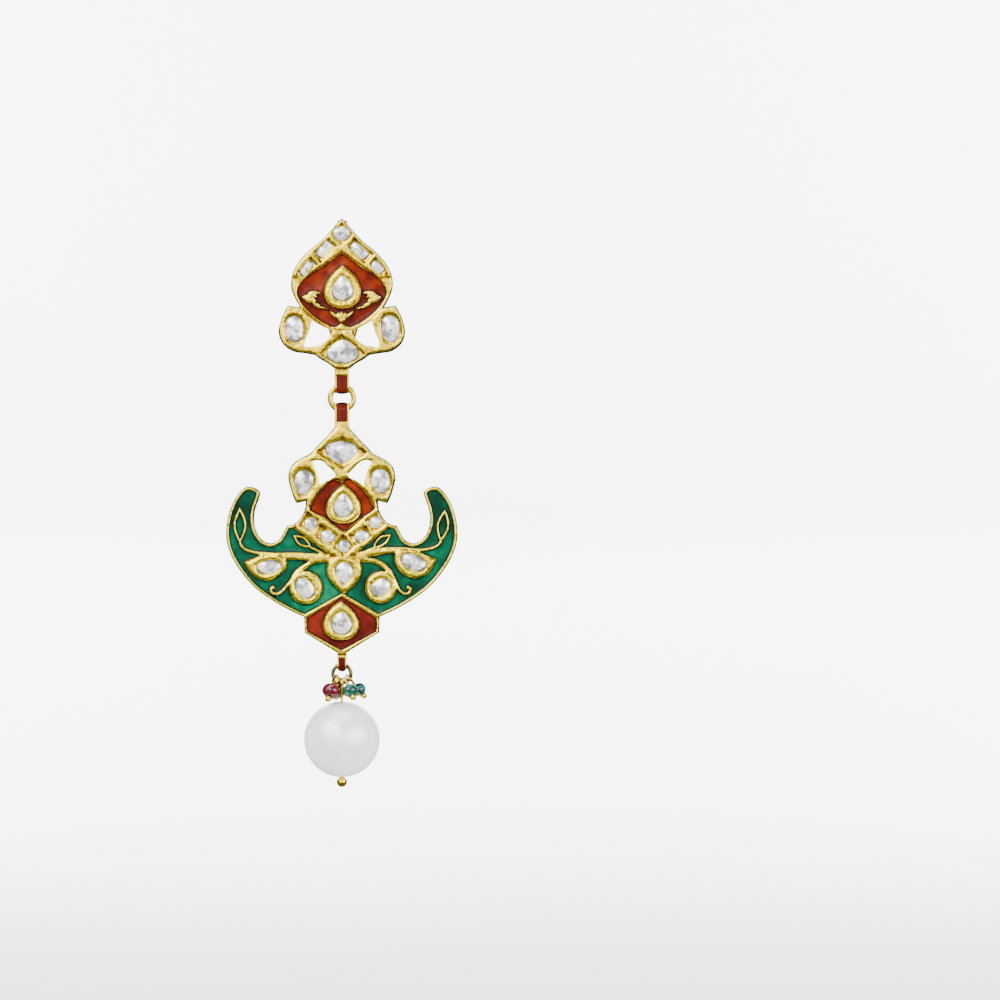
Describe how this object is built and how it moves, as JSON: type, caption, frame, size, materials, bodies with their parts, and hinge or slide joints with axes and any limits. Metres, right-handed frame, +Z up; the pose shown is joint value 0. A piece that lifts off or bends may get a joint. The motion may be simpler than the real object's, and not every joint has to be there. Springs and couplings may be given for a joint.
{
  "type": "drop earring",
  "caption": "Long gold drop earring with flat cut diamonds, red and green enamel panels, an omega clip with a post, and a pearl drop with small ruby and emerald beads.",
  "frame": {"origin": "axis of the ear post on the back face of the stud plate", "axes": "+Z up as the earring hangs, the front faces -Y, +X to the right seen from the front"},
  "size_m": [0.0324, 0.0168, 0.0796],
  "materials": {
    "gold": "soft high-carat gold foil, burnished by hand",
    "polished_gold": "polished gold wire and sheet",
    "old_gold": "worn darker gold wire",
    "green_enamel": "glossy translucent green enamel",
    "leaf_enamel": "glossy green enamel",
    "red_enamel": "glossy translucent red enamel",
    "blue_enamel": "glossy dark blue enamel",
    "white_enamel": "glossy white enamel",
    "diamond": "flat cut diamond over silver foil",
    "pearl": "lustrous cream pearl",
    "ruby": "polished ruby bead",
    "emerald": "polished emerald bead"
  },
  "bodies": {
    "stud": {"stud_frame": "gold", "stud_side_enamel": "green_enamel", "stud_red_panel": "red_enamel", "stud_back_white": "white_enamel", "stud_back_red": "red_enamel", "stud_back_green": "leaf_enamel", "stud_back_blue": "blue_enamel", "stud_loop_red": "red_enamel", "stud_loop_blue": "blue_enamel", "stud_stone_1": "diamond", "stud_stone_2": "diamond", "stud_stone_3": "diamond", "stud_stone_4": "diamond", "stud_stone_5": "diamond", "stud_stone_6": "diamond", "stud_stone_7": "diamond", "stud_stone_8": "diamond", "stud_stone_9": "diamond"},
    "omega": {"omega_clip": "polished_gold"},
    "nut": {"back_nut": "polished_gold"},
    "ring": {"upper_ring": "gold"},
    "pendant": {"pendant_frame": "gold", "pendant_side_enamel": "green_enamel", "pendant_red_panel": "red_enamel", "pendant_green_panels": "green_enamel", "pendant_low_red_panel": "red_enamel", "pendant_back_white": "white_enamel", "pendant_back_red": "red_enamel", "pendant_back_green": "leaf_enamel", "pendant_back_blue": "blue_enamel", "pendant_loop_red": "red_enamel", "pendant_loop_blue": "blue_enamel", "pendant_stone_1": "diamond", "pendant_stone_2": "diamond", "pendant_stone_3": "diamond", "pendant_stone_4": "diamond", "pendant_stone_5": "diamond", "pendant_stone_6": "diamond", "pendant_stone_7": "diamond", "pendant_stone_8": "diamond", "pendant_stone_9": "diamond", "pendant_stone_10": "diamond", "pendant_stone_11": "diamond", "pendant_stone_12": "diamond", "pendant_stone_13": "diamond", "pendant_stone_14": "diamond", "pendant_stone_15": "diamond"},
    "lower_ring": {"lower_ring": "old_gold", "ruby_front": "ruby", "ruby_rear": "ruby", "emerald_front": "emerald", "emerald_rear": "emerald", "ruby_front_pin": "old_gold", "ruby_rear_pin": "old_gold", "emerald_front_pin": "old_gold", "emerald_rear_pin": "old_gold"},
    "pearl": {"pearl": "pearl", "pearl_pin": "old_gold"}
  },
  "joints": [
    {"name": "omega_hinge", "type": "hinge", "parent": "stud", "child": "omega", "pos_m": [0, 0.006, -0.0115], "axis": [1, 0, 0], "range_deg": [-10, 3.5]},
    {"name": "nut_slide", "type": "slide", "parent": "stud", "child": "nut", "axis": [0, 1, 0], "range_m": [0, 0.0052]},
    {"name": "ring_swing", "type": "hinge", "parent": "stud", "child": "ring", "pos_m": [0, -0.0011, -0.01683], "axis": [1, 0, 0], "range_deg": [-12, 12]},
    {"name": "pendant_swing", "type": "hinge", "parent": "ring", "child": "pendant", "pos_m": [0, -0.0011, -0.01989], "axis": [1, 0, 0], "range_deg": [-12, 12]},
    {"name": "lower_ring_swing", "type": "hinge", "parent": "pendant", "child": "lower_ring", "pos_m": [0, -0.0011, -0.05571], "axis": [1, 0, 0], "range_deg": [-12, 12]},
    {"name": "pearl_swing", "type": "hinge", "parent": "lower_ring", "child": "pearl", "pos_m": [0, -0.0011, -0.05814], "axis": [1, 0, 0], "range_deg": [-10, 10]}
  ]
}
